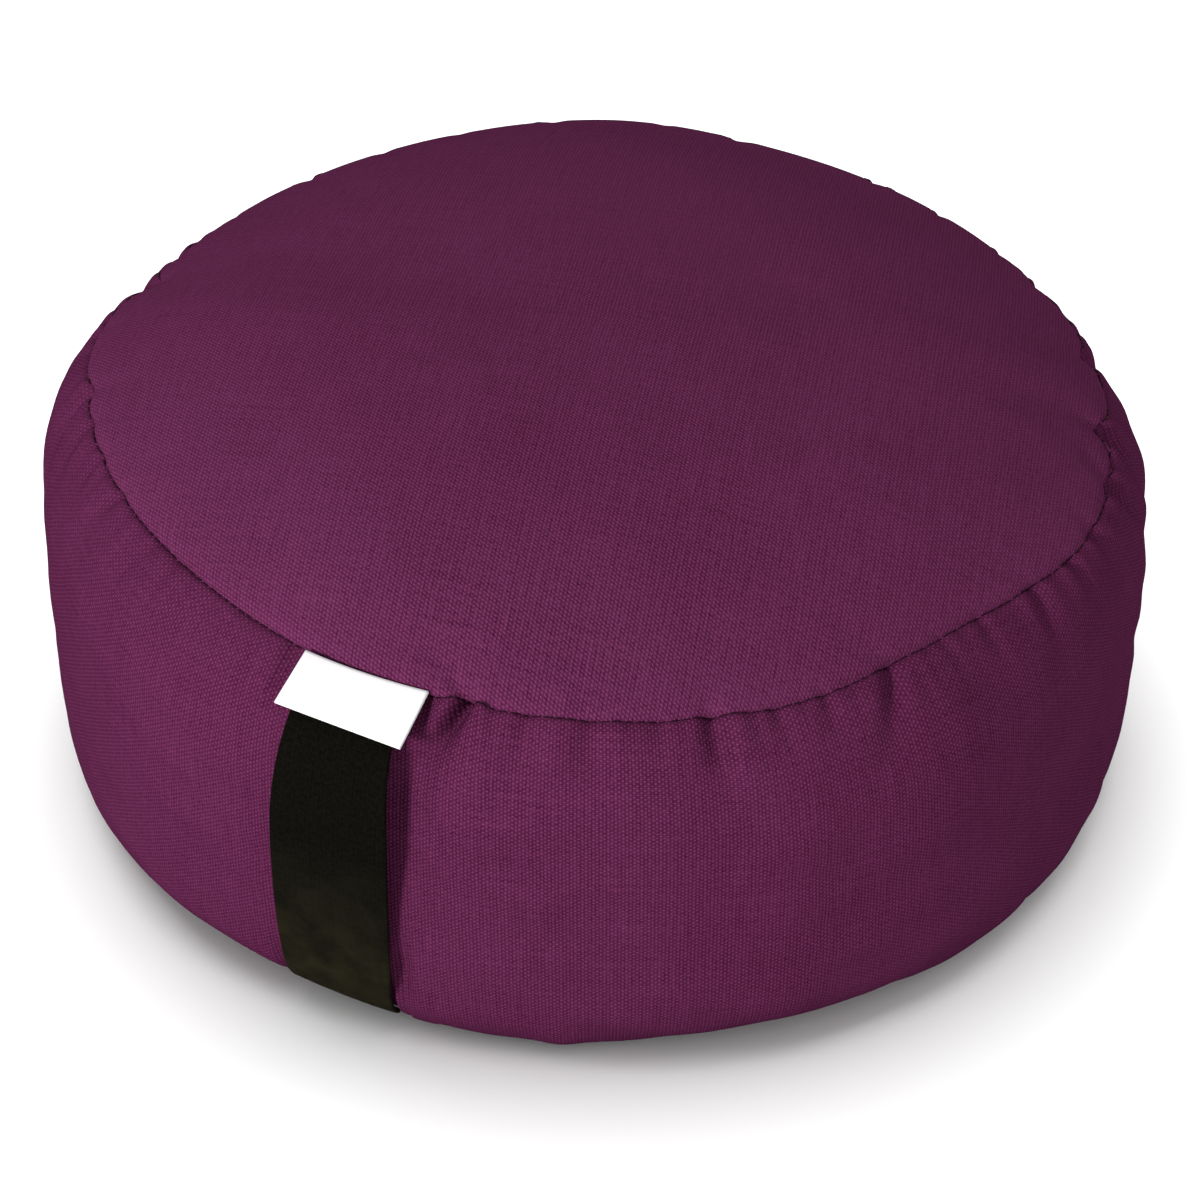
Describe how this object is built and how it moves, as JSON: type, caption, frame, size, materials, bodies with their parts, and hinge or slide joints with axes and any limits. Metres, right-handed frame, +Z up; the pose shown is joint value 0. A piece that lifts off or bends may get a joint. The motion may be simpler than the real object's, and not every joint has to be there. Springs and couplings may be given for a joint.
{
  "type": "round meditation cushion",
  "caption": "Round firmly filled floor cushion in plum cotton canvas: domed top panel, gathered side band, black webbing carrying handle and a small blank sewn-in label.",
  "frame": {"origin": "centre of the cushion's flat base, on the surface it rests on", "axes": "+Z up, through the middle of the top panel; -Y points out through the carrying handle, at the front; +X to the right seen from the front"},
  "size_m": [0.3531, 0.3624, 0.1527],
  "materials": {
    "plum_canvas": "plain-weave cotton canvas, matt, with fine ribs",
    "black_webbing": "flat cotton webbing, matt, with firm edges",
    "white_label": "smooth woven label tape, plain"
  },
  "bodies": {
    "root": {"cushion": "plum_canvas", "handle": "black_webbing", "label": "white_label"}
  },
  "joints": []
}
